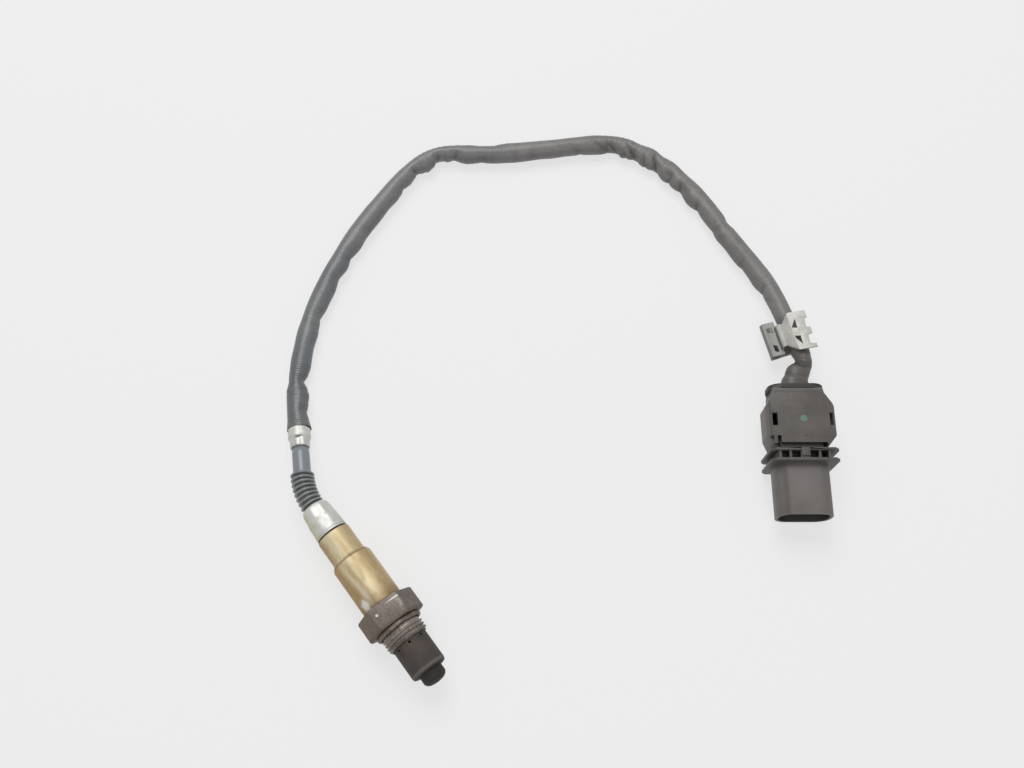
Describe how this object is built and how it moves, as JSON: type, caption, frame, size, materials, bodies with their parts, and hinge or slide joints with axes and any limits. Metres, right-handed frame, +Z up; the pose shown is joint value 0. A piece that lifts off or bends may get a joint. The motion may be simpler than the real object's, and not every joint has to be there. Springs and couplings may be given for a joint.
{
  "type": "oxygen sensor",
  "caption": "Exhaust oxygen sensor with a threaded hexagonal metal body, stepped tip, rubber boot, sleeved lead, sheet-metal clip and flanged electrical plug.",
  "frame": {"origin": "bottom centre of the bounding box of the metal sensor body, which lies on one flat of its hexagon", "axes": "+X along the sensor body towards the sensing tip, +Z up; the lead runs from the body's -X end round on the +Y side to its plug"},
  "size_m": [0.2458, 0.2391, 0.0228],
  "materials": {
    "body_steel": "dull, heat-browned",
    "gasket_steel": "dull",
    "sooted_steel": "matt soot over steel",
    "heat_tinted_steel": "satin straw heat tint on stainless steel",
    "bright_steel": "satin",
    "spring_steel": "plain",
    "clip_steel": "galvanised",
    "ceramic": "matt",
    "boot_rubber": "matt grey",
    "sleeve_rubber": "dusty dark grey",
    "plug_plastic": "dusty dark grey",
    "lock_plastic": "dark grey",
    "wire_insulation": "plain",
    "pin_plating": "tin plated"
  },
  "bodies": {
    "root": {"hex_shell": "body_steel", "sealing_gasket": "gasket_steel", "outer_protection_tube": "sooted_steel", "inner_protection_tube": "sooted_steel", "sensing_element": "ceramic", "front_ceramic_bush": "ceramic", "powder_seal": "ceramic", "rear_ceramic_bush": "ceramic", "retaining_ring": "spring_steel", "stepped_sleeve": "heat_tinted_steel", "contact_holder_upper": "ceramic", "contact_holder_lower": "ceramic", "contact_holder_band": "spring_steel", "crimp_sleeve": "bright_steel", "seal_plug": "boot_rubber", "boot": "boot_rubber", "ferrule": "bright_steel", "cable": "sleeve_rubber", "cable_clip": "clip_steel", "plug_cover": "plug_plastic", "plug_housing": "plug_plastic", "pin_lock": "lock_plastic", "contact_1": "spring_steel", "contact_2": "spring_steel", "contact_3": "spring_steel", "contact_4": "spring_steel", "contact_5": "spring_steel", "body_wire_1": "wire_insulation", "body_wire_2": "wire_insulation", "body_wire_3": "wire_insulation", "body_wire_4": "wire_insulation", "body_wire_5": "wire_insulation", "plug_wire_1": "wire_insulation", "plug_wire_2": "wire_insulation", "plug_wire_3": "wire_insulation", "plug_wire_4": "wire_insulation", "plug_wire_5": "wire_insulation", "plug_pin_1": "pin_plating", "plug_pin_2": "pin_plating", "plug_pin_3": "pin_plating", "plug_pin_4": "pin_plating", "plug_pin_5": "pin_plating", "plug_pin_6": "pin_plating"}
  },
  "joints": []
}
